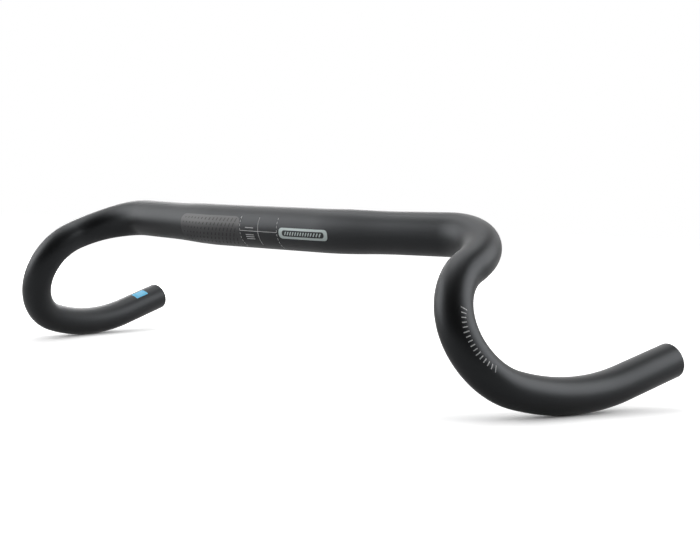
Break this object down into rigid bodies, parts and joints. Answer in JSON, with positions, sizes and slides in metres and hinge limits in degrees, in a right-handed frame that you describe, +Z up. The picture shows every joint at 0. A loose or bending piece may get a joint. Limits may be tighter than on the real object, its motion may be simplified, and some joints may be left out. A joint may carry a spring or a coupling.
{
  "type": "flared drop handlebar",
  "caption": "One-piece bent tube drop handlebar for a bicycle, with a thick round stem clamp section, tops that taper to the grips and hooks flared outwards; satin black.",
  "frame": {"origin": "centre of the stem clamp section, on the tube's axis", "axes": "+X along the clamp section to the rider's left, -Y forward, the way the bicycle rides, +Z up with the bar standing on its drops as in the picture"},
  "size_m": [0.57, 0.1786, 0.1221],
  "materials": {
    "black_anodised": "satin",
    "grey_print": "satin",
    "blue_label": "satin"
  },
  "bodies": {
    "root": {"handlebar": "black_anodised"}
  },
  "joints": []
}
